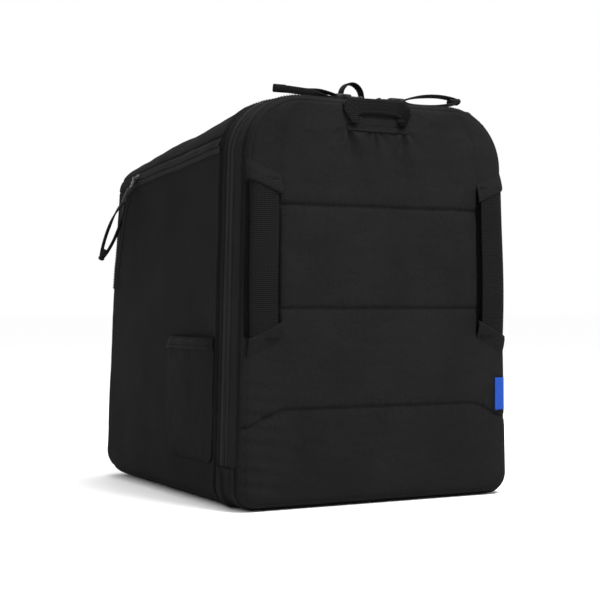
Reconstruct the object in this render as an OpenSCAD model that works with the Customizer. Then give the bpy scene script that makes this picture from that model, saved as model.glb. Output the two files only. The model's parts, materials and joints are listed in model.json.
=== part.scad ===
// Ski boot bag. The front is -Y, the top is +Z, and the bag stands on z = 0.
// Left and right are as seen when facing the opening panel.

/* [Body] */
// Width across the opening panel
body_w = 330; // [320:5:340]
// Height of the front edge of the top
body_h = 440; // [430:5:450]
// Depth from the opening panel's edge seam to the rear face
body_d = 380; // [370:5:390]
// How much lower the top is at the rear than at the front
top_drop = 37; // [32:1:42]
// How much wider each side is at the floor in front than under the shoulder
flare_front = 5; // [3:1:6]
// How much wider each side is at the floor behind
flare_rear = 14; // [10:1:15]
// Thickness of a padded wall
wall = 6; // [5:0.5:7]

/* [Opening panel] */
// Radius of the panel's top corners
top_corner = 60; // [55:1:65]
// Radius of the panel's bottom corners
low_corner = 22; // [20:1:24]
// Depth from the panel's edge seam back to the main zip
panel_side = 28; // [26:1:30]
// How far the padded face stands proud of its edge seam
crown = 14; // [12:1:15]
// Distance from the main zip back to the seam of the side panels
gusset_d = 27; // [25:1:29]

/* [Zips and pulls] */
// Gap between the two rows of zip teeth, where a slider's post runs
teeth_gap = 2.6; // [2.4:0.1:2.8]
// Height of the zip's bottom ends above the floor
zip_end = 44; // [40:1:50]
// Length of a pull from its pin to the end of its loop
pull_len = 108; // [90:1:110]
// Position of the left main slider along the top
slider_left_x = -5; // [-6:0.5:-4]
// Position of the right main slider along the top
slider_right_x = 18.6; // [18:0.2:20]
// Distance from the middle of the bag back to a parked side slider
side_slider_y = 105; // [95:1:108]

/* [Handles and pockets] */
// Width of the side grab webbing
grab_w = 32; // [30:1:36]
// Height of the middle of the side grab webbing
grab_z = 264; // [260:1:268]
// Length of the side grab webbing
grab_len = 172; // [168:1:176]
// Outer span of the top grab handle
top_grab_w = 84; // [80:1:88]
// Position of the top grab handle's middle along the top
top_grab_x = -6; // [-8:1:0]
// Outer width of the haul loop
haul_w = 29; // [28:1:30]
// Height of a stash pocket
pocket_h = 136; // [125:1:140]
// Length of a stash pocket
pocket_l = 125; // [118:1:128]

/* [Hidden] */

LEFT = 1;
RIGHT = -1;
half_w = body_w / 2;
rear_y = body_d / 2;
panel_y = -body_d / 2;
zip_y = panel_y + panel_side;
gusset_y = zip_y + gusset_d;
far = 600;
// The body's rear edges
rear_round = 25;
rear_corner_top = 36;
rear_corner_low = 34;
rear_full_y = rear_y - rear_round;
rear_seam_y = rear_y - wall;
// The panel stands this far above the floor, and turns about a line near its lower front edge
panel_low = 2;
// The side seam that carries a boot-compartment zip falls towards the rear
seam_front_z = body_h - 49;
seam_slope = 4.1;
seam_half = 7.5;
board_t = 2.5;
// The crowned face is mostly raised within one crown of its edge, then nearly flat further in
shoulder_rise = 0.65;
flat_inset = 3.2;
tape_in = 1;
tape_out = 2.2;
// Sliders
plate_t = 1.2;
slider_l = 12;
slider_w = 9;
plate_gap = 5.6;
pin_r = 0.92;
pin_h = 3.6;
// Pulls
bore_r = 1;
barrel_r = 2;
barrel_l = 3.6;
tab_l = 13;
grip_l = 19;
grip_w = 9;
grip_t = 6;
loop_w = 8;
loop_t = 1.5;
loop_h = 6.4;
// Straps
strap_x = 62;
strap_w = 56;
strap_t = 8;
strap_arc_r = 337.5;
strap_arc_y = -107.5;
strap_mid_z = 247;
strap_arc = 21.7;

function arc(cx, cz, r, from, steps) =
    [for (i = [0:steps]) [cx + r * cos(from + 90 * i / steps), cz + r * sin(from + 90 * i / steps)]];

// A front view outline, wider at the floor than under its rounded shoulders
function outline(high_half, low_half, low, high, high_r, low_r, grow) =
    let (rh = max(6, high_r + grow), rl = max(6, low_r + grow),
         xh = high_half + grow - rh, xl = low_half + grow - rl,
         zh = high + grow - rh, zl = low - grow + rl)
    concat(arc(xl, zl, rl, -90, 6), arc(xh, zh, rh, 0, 8),
           arc(-xh, zh, rh, 90, 8), arc(-xl, zl, rl, 180, 6));

function front_outline(grow) =
    outline(half_w, half_w + flare_front, 0, body_h, top_corner, low_corner, grow);
function rear_outline(grow) =
    outline(half_w + 3, half_w + flare_rear, 0, body_h - top_drop, rear_corner_top,
            rear_corner_low, grow);
function panel_outline(low_half, grow) =
    outline(half_w, half_w + low_half, panel_low, body_h - 1.5, top_corner, low_corner, grow);

function seam_z(y) = seam_front_z - (y - zip_y) * tan(seam_slope);
function seam_x(y) = half_w - 0.7 + 3 * (y - zip_y) / body_d;

module slab(y, points) {
    translate([0, y, 0]) rotate([90, 0, 0]) linear_extrude(0.5) polygon(points);
}

// The body's whole outer form, grown or shrunk all over
module body_solid(grow) {
    hull() {
        slab(zip_y, front_outline(grow));
        for (a = [0:30:90])
            slab(rear_full_y + (rear_round + grow) * sin(a),
                 rear_outline(grow - (rear_round + grow) * (1 - cos(a))));
    }
}

// The opening panel's whole outer form, with its crowned face
module panel_solid(grow) {
    hull() {
        slab(zip_y, panel_outline(4, grow));
        slab(panel_y, panel_outline(1, grow));
        slab(panel_y - crown * shoulder_rise - grow, panel_outline(0, 0.6 * grow - crown));
        slab(panel_y - crown - grow, panel_outline(0, 0.3 * grow - flat_inset * crown));
    }
}

module block(low, high) {
    translate(low) cube([high[0] - low[0], high[1] - low[1], high[2] - low[2]]);
}

// Everything across the bag between two depths and above a height
module depth_range(front, back, low) {
    block([-far, front, low], [far, back, far]);
}

// Everything above the sloping line of the side zips, raised by a height
module above_seam(raise) {
    translate([0, zip_y, seam_front_z]) rotate([-seam_slope, 0, 0])
        block([-far, -far, raise], [far, far, far]);
}

module on_side(side) {
    if (side == LEFT) children();
    else mirror([1, 0, 0]) children();
}

// ---- body ----

module base_panel() {
    color("#1b1c1e") intersection() {
        body_solid(0);
        depth_range(zip_y + 1, rear_seam_y, -1);
        block([-far, -far, -1], [far, far, wall]);
    }
}

module base_board() {
    color("#2a2b2c") translate([0, 0, wall]) linear_extrude(board_t) offset(r = 12)
        square([body_w - 2 * wall - 58, body_d - 80], center = true);
}

module side_panel(side) {
    color("#202124") on_side(side) difference() {
        intersection() {
            body_solid(0);
            block([-far, gusset_y, wall], [-half_w + 45, rear_seam_y, far]);
        }
        body_solid(-wall);
        above_seam(-seam_half);
        block([-half_w + 20, -far, wall], [0, far, 2 * wall]);
    }
}

module rear_panel() {
    color("#1d1e20") difference() {
        intersection() {
            body_solid(0);
            depth_range(rear_seam_y, far, 0);
        }
        body_solid(-wall);
    }
}

module top_panel() {
    color("#232427") difference() {
        intersection() {
            body_solid(0);
            depth_range(gusset_y, rear_seam_y, 0);
            above_seam(seam_half);
        }
        body_solid(-wall);
    }
}

// A band of the body's skin, from one depth below the surface to another
module body_band(outer, inner, front, back, low) {
    difference() {
        intersection() {
            body_solid(-outer);
            depth_range(front, back, low);
        }
        body_solid(-inner);
    }
}

module front_gusset() {
    color("#191a1c") body_band(0, 4, zip_y + 9, gusset_y, wall);
}

module main_zip_tape_body() {
    color("#151617")
        body_band(tape_in, tape_out, zip_y + teeth_gap, zip_y + 9, zip_end);
}

module main_zip_teeth_body() {
    color("#0e0e0f")
        body_band(0.2, 2.8, zip_y + teeth_gap / 2, zip_y + teeth_gap, zip_end);
}

module hinge_flap() {
    color("#191a1c") block([-half_w + 24, panel_y - 2, 0], [half_w - 24, zip_y + 1, 1.2]);
}

module pleat(side) {
    color("#17181a") on_side(side) translate([-half_w + 8, 0, 0]) rotate([90, 0, 90])
        linear_extrude(1.6) polygon([[zip_y - 4, 3], [zip_y + 0.9, 3], [zip_y + 0.9, wall + 0.2],
                                     [zip_y + 12, zip_end], [zip_y - 18, zip_end]]);
}

module zip_end_tab(side) {
    color("#151617") on_side(side) difference() {
        block([-half_w - 11, zip_y + 2, zip_end - 5], [-half_w, zip_y + 9, zip_end + 4]);
        body_solid(0.2);
    }
}

module boot_divider(side) {
    color("#2c2d30") on_side(side) intersection() {
        body_solid(-wall - 0.3);
        block([-51, gusset_y + 6, wall + board_t + 0.3], [-48.5, rear_seam_y - 1, far]);
    }
}

module stash_pocket(side) {
    pocket_y = gusset_y + 4;
    pocket_z = 45;
    color("#1e1f21") on_side(side) difference() {
        intersection() {
            body_solid(9);
            block([-far, pocket_y, pocket_z], [0, pocket_y + pocket_l, pocket_z + pocket_h]);
        }
        body_solid(0.05);
        intersection() {
            body_solid(7.4);
            block([-far, pocket_y + 4, pocket_z + 4], [0, pocket_y + pocket_l - 4, far]);
        }
    }
}

// The two halves of a boot-compartment zip lie on each side of the seam line
module side_zip(side) {
    color("#131415") on_side(side) difference() {
        intersection() {
            body_solid(-0.4);
            block([-far, gusset_y, 0], [-half_w + 40, rear_seam_y, far]);
            above_seam(-seam_half);
        }
        body_solid(-tape_out);
        above_seam(seam_half);
        difference() {
            above_seam(-teeth_gap / 2);
            above_seam(teeth_gap / 2);
        }
    }
}

// ---- harness on the rear ----

module back_pad() {
    color("#26272a") translate([0, rear_y + 0.1, 112]) rotate([90, 0, 0]) mirror([0, 0, 1])
        linear_extrude(7.9) translate([0, 120]) offset(r = 20) square([180, 200], center = true);
}

function strap_point(r, a) = [strap_arc_y + r * cos(a), strap_mid_z + r * sin(a)];

module shoulder_strap(side) {
    steps = 12;
    inner_r = strap_arc_r - strap_t / 2;
    outer_r = strap_arc_r + strap_t / 2;
    angles = [for (i = [0:steps]) -strap_arc + 2 * strap_arc * i / steps];
    points = concat([for (a = angles) strap_point(outer_r, a)],
                    [[rear_y + 0.1, strap_mid_z + inner_r * sin(strap_arc) + 3],
                     [rear_y + 0.1, strap_mid_z + inner_r * sin(strap_arc) - 10]],
                    [for (i = [0:steps - 1]) strap_point(inner_r, angles[steps - 1 - i])]);
    color("#212225") on_side(side) translate([-strap_x - strap_w / 2, 0, 0])
        rotate([90, 0, 90]) linear_extrude(strap_w) polygon(points);
}

strap_end_y = strap_arc_y + strap_arc_r * cos(strap_arc);
strap_end_z = strap_mid_z - strap_arc_r * sin(strap_arc);

module ladder_lock(side) {
    lock_w = 34;
    lock_h = 26;
    color("#0f0f10") on_side(side)
        translate([-strap_x - lock_w / 2, strap_end_y - 3.5, strap_end_z - lock_h - 2.2])
            difference() {
                cube([lock_w, 5, lock_h]);
                for (z = [5, 16]) translate([4, -1, z]) cube([lock_w - 8, 7, 3.4]);
            }
}

module strap_webbing(side) {
    color("#18191a") on_side(side) hull() {
        translate([-strap_x - 12.5, strap_end_y - 5.4, strap_end_z - 16]) cube([25, 1.6, 3]);
        translate([-140, rear_y + 2.4, 46]) cube([22, 1.6, 6]);
    }
}

module strap_anchor(side) {
    color("#191a1c") on_side(side) translate([0, rear_y + 0.1, 0]) rotate([90, 0, 0])
        mirror([0, 0, 1]) linear_extrude(2.1) polygon([[-112, 28], [-152, 28], [-152, 76]]);
}

// ---- opening panel ----

module grab_recess(depth, margin) {
    for (side = [LEFT, RIGHT]) on_side(side)
        block([-half_w + 1.5 - margin, -far, grab_z - 82 - margin],
              [-half_w + 44 + margin, panel_y - depth, grab_z + 82 + margin]);
}

module front_panel_cover() {
    color("#202124") difference() {
        intersection() {
            panel_solid(0);
            depth_range(-far, panel_y, 0);
        }
        front_panel_core(2);
        grab_recess(2, 0);
    }
}

module front_panel_core(skin) {
    difference() {
        intersection() {
            panel_solid(-skin);
            depth_range(-far, panel_y + 0.1, 0);
        }
        grab_recess(-1, 2);
    }
}

module front_panel_foam() {
    color("#7c7f85") difference() {
        front_panel_core(2);
        depth_range(panel_y - 0.2, 0, -1);
    }
}

module front_panel_lining() {
    color("#34353a") intersection() {
        panel_solid(-0.4);
        depth_range(panel_y + 0.1, panel_y + 1.5, panel_low);
    }
}

// A band of the panel's side wall, from one depth below the surface to another
module panel_band(outer, inner, front, back, low) {
    difference() {
        intersection() {
            panel_solid(-outer);
            depth_range(front, back, low);
        }
        panel_solid(-inner);
    }
}

module front_panel_rim() {
    color("#1a1b1d") panel_band(0, 3, panel_y + 1.5, zip_y - 9, low_corner + panel_low);
}

module main_zip_tape_panel() {
    color("#151617")
        panel_band(tape_in, tape_out, zip_y - 9, zip_y - teeth_gap, zip_end);
}

module main_zip_teeth_panel() {
    color("#0e0e0f")
        panel_band(0.2, 2.8, zip_y - teeth_gap, zip_y - teeth_gap / 2, zip_end);
}

// A piece of a thin layer that lies on the panel's crowned face
module face_layer(inner, outer, low, high) {
    difference() {
        intersection() {
            panel_solid(outer);
            block([low[0], -far, low[1]], [high[0], panel_y, high[1]]);
        }
        panel_solid(inner);
    }
}

// Depth of the crowned face at a distance from the bag's middle, along a level line
function face_y(x) =
    let (inset = half_w - x)
    inset < crown
        ? panel_y - shoulder_rise * inset
        : panel_y - shoulder_rise * crown - (1 - shoulder_rise) * (inset - crown) / (flat_inset - 1);

module grab_handle(side) {
    web_t = 1.6;
    lift = 1;
    xs = [half_w - 4, half_w - crown, half_w - 4 - grab_w];
    near = [for (x = xs) [-x, face_y(x) - lift]];
    away = [for (i = [2:-1:0]) [-xs[i], face_y(xs[i]) - lift - web_t]];
    color("#141516") on_side(side) translate([0, 0, grab_z - grab_len / 2])
        linear_extrude(grab_len) polygon(concat(near, away));
}

// A folded flap covers each end of each side grab handle, cut along a diagonal
module handle_end_flaps() {
    flap_h = 20;
    color("#1c1d1f") for (side = [LEFT, RIGHT]) for (end = [0, 1])
        on_side(side) intersection() {
            face_layer(2.6, 3.8, [-half_w + 2, 0], [-half_w + 44, far]);
            translate([0, 0, grab_z]) mirror([0, 0, end]) translate([-half_w, 0, -grab_len / 2])
                rotate([90, 0, 0]) linear_extrude(far)
                    polygon([[0, -2], [0, flap_h - 16], [44, flap_h + 4], [44, 8]]);
        }
}

module side_tag() {
    color("#2d55be") face_layer(0.2, 1.4, [half_w - 13, 96], [half_w - 1, 133]);
}

module top_handle_patch() {
    color("#17181a") face_layer(0.2, 1.1, [top_grab_x - top_grab_w / 2 + 4, 398],
                                          [top_grab_x + top_grab_w / 2 - 4, 408]);
}

top_handle_z = 411.5;
top_handle_y = panel_y - 15;
top_handle_lean = 15;

// Webbing handle that lies against the panel's upper edge and turns about its sewn end
module top_handle() {
    span = top_grab_w / 2;
    color("#131415") translate([top_grab_x, top_handle_y, top_handle_z])
        rotate([90 - top_handle_lean, 0, 0]) difference() {
            union() {
                translate([0, 0, -1]) linear_extrude(2)
                    polygon([[-34, 0], [-span, 12], [-span, 21], [-span + 7, 28],
                             [span - 7, 28], [span, 21], [span, 12], [34, 0]]);
                translate([-34, 0, 0]) rotate([0, 90, 0]) cylinder(r = 1, h = 68, $fn = 24);
            }
            translate([-21, -2, -3]) cube([42, 12, 6]);
        }
}

haul_y = zip_y + 30;
haul_r = haul_w / 2;
haul_axis_z = body_h + 4;

// Arched webbing loop whose round lower ends turn about one line
module haul_loop() {
    web = 12;
    web_t = 2.2;
    stand_z = haul_axis_z + 9;
    color("#161718") difference() {
        union() {
            translate([0, haul_y, stand_z]) rotate([90, 0, 0])
                cylinder(r = haul_r, h = web, center = true, $fn = 48);
            block([-haul_r, haul_y - web / 2, haul_axis_z], [haul_r, haul_y + web / 2, stand_z]);
            translate([0, haul_y, haul_axis_z]) rotate([0, 90, 0])
                cylinder(r = web / 2, h = haul_w, center = true, $fn = 48);
        }
        translate([0, haul_y, stand_z]) rotate([90, 0, 0])
            cylinder(r = haul_r - web_t, h = web + 2, center = true, $fn = 48);
        block([-haul_r + web_t, haul_y - web, haul_axis_z - web],
              [haul_r - web_t, haul_y + web, stand_z]);
    }
}

// ---- sliders and pulls, in a frame with the travel along X and the outside along +Z ----

module slider_plate(z) {
    wide = slider_w / 2;
    narrow = wide - 1.6;
    long = slider_l / 2;
    translate([0, 0, z]) linear_extrude(plate_t)
        polygon([[-long, -narrow], [-long + 1, -narrow - 0.6], [long - 3, -wide], [long, -wide + 1.5],
                 [long, wide - 1.5], [long - 3, wide], [-long + 1, narrow + 0.6], [-long, narrow]]);
}

// Two plates joined by a post between the teeth, with two lugs that carry the pull's pin
module slider(pin_angle) {
    top_z = plate_gap / 2;
    color("#2b2c2e") {
        slider_plate(top_z);
        slider_plate(-top_z - plate_t);
        translate([slider_l / 2 - 4, -0.8, -top_z]) cube([3.4, 1.6, plate_gap]);
        rotate([0, 0, pin_angle]) {
            for (s = [-1, 1]) translate([-1.6, s * 2.6 - 0.6, top_z + plate_t])
                cube([3.2, 1.2, pin_h + 1.4]);
            translate([0, 0, top_z + plate_t + pin_h]) rotate([90, 0, 0])
                cylinder(r = pin_r, h = 5.6, center = true, $fn = 32);
        }
    }
}

slider_pin_z = plate_gap / 2 + plate_t + pin_h;
main_slider_z = body_h - 2;

module at_main_slider(x) {
    translate([x, zip_y, main_slider_z]) children();
}

// The left side slider's frame: travel towards the front, outside to the left
module at_side_slider() {
    translate([-seam_x(side_slider_y) + 1.9, side_slider_y, seam_z(side_slider_y)])
        rotate([-seam_slope, 0, 0]) rotate([90, 0, -90]) children();
}

module main_slider(x, turned) {
    at_main_slider(x) rotate([0, 0, turned]) slider(0);
}

module side_slider(side) {
    on_side(side) at_side_slider() slider(90);
}

// Metal tab: a barrel on the pin along Y, and a plate along +X with a slot for the webbing
module pull_tab() {
    color("#3a3b3d") difference() {
        union() {
            rotate([90, 0, 0]) cylinder(r = barrel_r, h = barrel_l, center = true, $fn = 32);
            translate([bore_r + 0.3, -barrel_l / 2, -0.8]) cube([4, barrel_l, 1.6]);
            translate([4.6, -3.2, -0.8]) cube([tab_l - 4.6, 6.4, 1.6]);
        }
        rotate([90, 0, 0]) cylinder(r = bore_r, h = barrel_l + 2, center = true, $fn = 32);
        translate([tab_l - 4.4, -2.2, -2]) cube([1.8, 4.4, 4]);
    }
}

module pull_grip() {
    color("#17181a") translate([tab_l + 0.1, 0, 0]) hull() {
        translate([0, -grip_w / 2 + 1.5, -grip_t / 2]) cube([grip_l, grip_w - 3, grip_t]);
        translate([1.5, -grip_w / 2, -grip_t / 2 + 1.5]) cube([grip_l - 3, grip_w, grip_t - 3]);
    }
}

module pull_loop() {
    start = tab_l + grip_l + 0.2;
    round_x = pull_len - loop_h / 2;
    color("#111213") rotate([90, 0, 0]) translate([0, 0, -loop_w / 2]) linear_extrude(loop_w)
        difference() {
            union() {
                translate([start, -loop_h / 2]) square([round_x - start, loop_h]);
                translate([round_x, 0]) circle(r = loop_h / 2, $fn = 32);
            }
            translate([start - 1, -loop_h / 2 + loop_t])
                square([round_x - start + 1, loop_h - 2 * loop_t]);
            translate([round_x, 0]) circle(r = loop_h / 2 - loop_t, $fn = 32);
        }
}

module at_main_pull(x, turned) {
    at_main_slider(x) translate([0, 0, slider_pin_z]) rotate([0, 0, turned]) children();
}

// How far a hanging side pull stands off the side, and how far its loop trails to the rear
hang_out = 22;
trail = 15;

module at_side_pull(side) {
    on_side(side) at_side_slider() translate([0, 0, slider_pin_z]) rotate([-hang_out, 0, 0])
        rotate([0, 0, -90]) children();
}

module trailing() {
    translate([tab_l - 3, 0, 0]) rotate([0, 0, -trail]) translate([4 - tab_l, 0, 0]) children();
}

base_panel();
base_board();
side_panel(LEFT);  // side_panel_left
side_panel(RIGHT);  // side_panel_right
rear_panel();
top_panel();
front_gusset();
main_zip_tape_body();
main_zip_teeth_body();
hinge_flap();
pleat(LEFT);  // pleat_left
pleat(RIGHT);  // pleat_right
zip_end_tab(LEFT);  // zip_end_tab_left
zip_end_tab(RIGHT);  // zip_end_tab_right
boot_divider(LEFT);  // boot_divider_left
boot_divider(RIGHT);  // boot_divider_right
stash_pocket(LEFT);  // stash_pocket_left
stash_pocket(RIGHT);  // stash_pocket_right
side_zip(LEFT);  // side_zip_left
side_zip(RIGHT);  // side_zip_right
back_pad();
shoulder_strap(LEFT);  // shoulder_strap_left
shoulder_strap(RIGHT);  // shoulder_strap_right
strap_webbing(LEFT);  // strap_webbing_left
strap_webbing(RIGHT);  // strap_webbing_right
ladder_lock(LEFT);  // ladder_lock_left
ladder_lock(RIGHT);  // ladder_lock_right
strap_anchor(LEFT);  // strap_anchor_left
strap_anchor(RIGHT);  // strap_anchor_right
front_panel_cover();
front_panel_foam();
front_panel_lining();
front_panel_rim();
main_zip_tape_panel();
main_zip_teeth_panel();
grab_handle(LEFT);  // grab_handle_left
grab_handle(RIGHT);  // grab_handle_right
handle_end_flaps();
side_tag();
top_handle_patch();
top_handle();
haul_loop();
main_slider(slider_left_x, 180);  // main_slider_left
main_slider(slider_right_x, 0);  // main_slider_right
side_slider(LEFT);  // side_slider_left
side_slider(RIGHT);  // side_slider_right
at_main_pull(slider_left_x, 180) pull_tab();  // main_pull_tab_left
at_main_pull(slider_left_x, 180) pull_grip();  // main_pull_grip_left
at_main_pull(slider_left_x, 180) pull_loop();  // main_pull_loop_left
at_main_pull(slider_right_x, 0) pull_tab();  // main_pull_tab_right
at_main_pull(slider_right_x, 0) pull_grip();  // main_pull_grip_right
at_main_pull(slider_right_x, 0) pull_loop();  // main_pull_loop_right
at_side_pull(LEFT) pull_tab();  // side_pull_tab_left
at_side_pull(LEFT) trailing() pull_grip();  // side_pull_grip_left
at_side_pull(LEFT) trailing() pull_loop();  // side_pull_loop_left
at_side_pull(RIGHT) pull_tab();  // side_pull_tab_right
at_side_pull(RIGHT) trailing() pull_grip();  // side_pull_grip_right
at_side_pull(RIGHT) trailing() pull_loop();  // side_pull_loop_right
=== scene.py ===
"""Looks for the ski boot bag: soft shells, quilted panel, webbing, zips and stitching round the CAD frame."""
import json
import math

import bmesh
import bpy
import numpy as np
from mathutils import Matrix, Vector, noise
from mathutils.bvhtree import BVHTree


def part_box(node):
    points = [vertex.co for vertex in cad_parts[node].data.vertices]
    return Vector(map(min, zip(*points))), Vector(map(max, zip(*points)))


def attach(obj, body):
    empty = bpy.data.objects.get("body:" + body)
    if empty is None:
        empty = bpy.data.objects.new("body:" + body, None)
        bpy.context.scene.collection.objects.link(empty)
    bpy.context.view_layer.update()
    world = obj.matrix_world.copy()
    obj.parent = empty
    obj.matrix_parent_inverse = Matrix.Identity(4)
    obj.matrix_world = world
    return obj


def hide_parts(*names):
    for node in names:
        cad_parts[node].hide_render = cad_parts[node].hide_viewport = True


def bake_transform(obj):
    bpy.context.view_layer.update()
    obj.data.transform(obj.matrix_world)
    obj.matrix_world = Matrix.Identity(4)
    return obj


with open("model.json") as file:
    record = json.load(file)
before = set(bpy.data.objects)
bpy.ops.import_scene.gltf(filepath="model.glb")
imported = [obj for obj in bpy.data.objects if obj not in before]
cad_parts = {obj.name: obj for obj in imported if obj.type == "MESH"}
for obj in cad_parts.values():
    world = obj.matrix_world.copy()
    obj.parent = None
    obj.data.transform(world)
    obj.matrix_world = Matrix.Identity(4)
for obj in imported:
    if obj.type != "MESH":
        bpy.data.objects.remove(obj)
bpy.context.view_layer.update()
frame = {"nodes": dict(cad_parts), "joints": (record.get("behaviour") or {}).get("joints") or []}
joints = {joint["name"]: joint for joint in frame["joints"]}

# ---- sizes, in metres, from the frame
COVER_LOW, COVER_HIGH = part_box("front_panel_cover")
PANEL_BOTTOM, PANEL_TOP = COVER_LOW[2], COVER_HIGH[2]
FACE_Y, EDGE_Y = COVER_LOW[1], COVER_HIGH[1]
CROWN = EDGE_Y - FACE_Y
TOP_HALF = COVER_HIGH[0] - 0.001
ZIP_Y = joints["main_pull_left_swing"]["pos_m"][1]
ZIP_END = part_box("main_zip_tape_body")[0][2]
GUSSET_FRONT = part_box("front_gusset")[0][1]
# The photo shows the gusset's seam 8 mm in front of the CAD's
GUSSET_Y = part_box("front_gusset")[1][1] - 0.008
# The top slider stands this far above the body's top
BODY_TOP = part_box("main_slider_left")[1][2] - 0.0072
REAR_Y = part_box("rear_panel")[1][1]
REAR_ROUND = 0.025
REAR_FULL = REAR_Y - REAR_ROUND
TOP_DROP = BODY_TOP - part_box("rear_panel")[1][2]
SEAM_FRONT_Z = BODY_TOP - 0.049
SEAM_SLOPE = math.tan(math.radians(4.1))
SEAM_HALF = 0.0075
WALL = 0.005
FRONT = (0, -1, 0)
SIDES = ((-1, "left"), (1, "right"))


def seam_z(y):
    return SEAM_FRONT_Z - (y - ZIP_Y) * SEAM_SLOPE


# ---- materials
class Look:
    """A material's nodes, with short calls to add and join them."""

    def __init__(self, name, color, roughness):
        self.mat = bpy.data.materials.new(name)
        self.mat.use_nodes = True
        self.shader = self.mat.node_tree.nodes["Principled BSDF"]
        self.set("Base Color", (*color, 1))
        self.set("Roughness", roughness)

    def add(self, kind):
        return self.mat.node_tree.nodes.new("ShaderNode" + kind)

    def join(self, output, socket):
        self.mat.node_tree.links.new(output, socket)

    def set(self, socket, value):
        self.shader.inputs[socket].default_value = value

    def math(self, operation, *values):
        node = self.add("Math")
        node.operation = operation
        for socket, value in zip(node.inputs, values):
            if isinstance(value, (int, float)):
                socket.default_value = value
            else:
                self.join(value, socket)
        return node.outputs[0]

    def noise(self, vector, scale, detail=3.0):
        node = self.add("TexNoise")
        for socket, value in (("Scale", scale), ("Detail", detail), ("Roughness", 0.55)):
            node.inputs[socket].default_value = value
        self.join(vector, node.inputs["Vector"])
        return node.outputs["Fac"]

    def mottle(self, fac, color, variation):
        ramp = self.add("ValToRGB")
        for index, at, sign in ((0, 0.3, -1), (1, 0.72, 1)):
            stop = ramp.color_ramp.elements[index]
            stop.position = at
            stop.color = (*(c * (1 + sign * variation) for c in color), 1)
        self.join(fac, ramp.inputs["Fac"])
        self.join(ramp.outputs["Color"], self.shader.inputs["Base Color"])

    def roughen(self, fac, spread, middle):
        rough = self.math("ADD", self.math("MULTIPLY", fac, spread), middle - spread / 2)
        self.join(rough, self.shader.inputs["Roughness"])

    def bump(self, height, distance):
        node = self.add("Bump")
        node.inputs["Distance"].default_value = distance
        node.inputs["Strength"].default_value = 1.0
        self.join(height, node.inputs["Height"])
        self.join(node.outputs["Normal"], self.shader.inputs["Normal"])


def woven(name, color, pitch=0.0011, depth=0.00016, roughness=0.8, ribs=None, variation=0.36):
    """Plain weave in UV metres, or ribs across webbing, with worn colour variation and painted shade in the weave's
    hollows.
    """
    look = Look(name, color, roughness)
    coords = look.add("TexCoord").outputs
    split = look.add("SeparateXYZ")
    look.join(coords["UV"], split.inputs[0])
    wave_u, wave_v = (look.math("SINE", look.math("MULTIPLY", split.outputs[axis], 2 * math.pi / gap))
                      for axis, gap in (("X", pitch), ("Y", ribs or pitch)))
    weave = look.math("MULTIPLY", wave_u, wave_v)
    if ribs:
        weave = look.math("ADD", wave_v, look.math("MULTIPLY", weave, 0.5))
    grain = look.noise(coords["Object"], 1400.0, 2.0)
    look.bump(look.math("ADD", weave, look.math("MULTIPLY", grain, 1.2)), depth)
    broad = look.noise(coords["Object"], 16.0, 4.0)
    fine = look.noise(coords["Object"], 520.0)
    mixed = look.math("ADD", look.math("MULTIPLY", broad, 0.35), look.math("MULTIPLY", fine, 0.65))
    # Painted shade and highlight: the colour follows the weave's relief, lighter on the thread crowns and darker
    # between the threads.
    look.mottle(look.math("ADD", mixed, look.math("MULTIPLY", weave, 0.10)), color, variation)
    look.roughen(fine, 0.16, roughness)
    look.set("Specular IOR Level", 0.035)
    return look.mat


def moulded(name, color, roughness=0.45, metallic=0.0, grain=0.00003, scale=2600.0, specular=0.2):
    """Moulded plastic, rubber or painted metal: fine grain, slight wear and uneven gloss."""
    look = Look(name, color, roughness)
    look.set("Metallic", metallic)
    look.set("Specular IOR Level", specular)
    coords = look.add("TexCoord").outputs["Object"]
    fine = look.noise(coords, scale)
    look.mottle(look.noise(coords, 180.0, 4.0), color, 0.35)
    look.roughen(fine, 0.2, roughness)
    look.bump(fine, grain)
    return look.mat


# Painted shade: the shell's black is made darker than the panel's to stand in for the dimmer light on the bag's
# sides.
SHADED_SHELL_BLACK = (0.0070, 0.0070, 0.0077)
shell_fabric = woven("shell_fabric", SHADED_SHELL_BLACK)
panel_fabric = woven("panel_fabric", (0.0084, 0.0083, 0.0085))
lining_fabric = woven("lining_fabric", (0.040, 0.042, 0.047), pitch=0.0014, roughness=0.7)
mesh_fabric = woven("mesh_fabric", (0.018, 0.018, 0.020), pitch=0.0032, depth=0.0006, roughness=0.85)
webbing_fabric = woven("webbing_fabric", (0.0048, 0.0048, 0.0052), pitch=0.0042, ribs=0.0021,
                       depth=0.00035, roughness=0.62)
pull_fabric = woven("pull_fabric", (0.0085, 0.0085, 0.0092), pitch=0.0022, ribs=0.0014, depth=0.0002,
                    roughness=0.6)
tape_fabric = woven("tape_fabric", (0.0155, 0.0155, 0.0163), pitch=0.0016, ribs=0.0012,
                    depth=0.00025, roughness=0.7)
tag_fabric = woven("tag_fabric", (0.014, 0.055, 0.29), pitch=0.0009, ribs=0.0011, depth=0.00015,
                   roughness=0.6, variation=0.15)
thread = woven("thread", (0.0165, 0.0165, 0.0175), pitch=0.0008, depth=0.0001, roughness=0.55)
teeth_plastic = moulded("teeth_plastic", (0.004, 0.004, 0.0045), 0.55, specular=0.08)
slider_metal = moulded("slider_metal", (0.055, 0.055, 0.058), 0.36, metallic=0.8)
grip_rubber = moulded("grip_rubber", (0.006, 0.006, 0.0065), 0.6, grain=0.00008, scale=1500.0)
buckle_plastic = moulded("buckle_plastic", (0.012, 0.012, 0.013), 0.42)
board_plastic = moulded("board_plastic", (0.03, 0.03, 0.032), 0.5)


# ---- mesh helpers
def link(name, data):
    """A new object in the scene with this mesh, lamp or camera."""
    obj = bpy.data.objects.new(name, data)
    bpy.context.scene.collection.objects.link(obj)
    return obj


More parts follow.
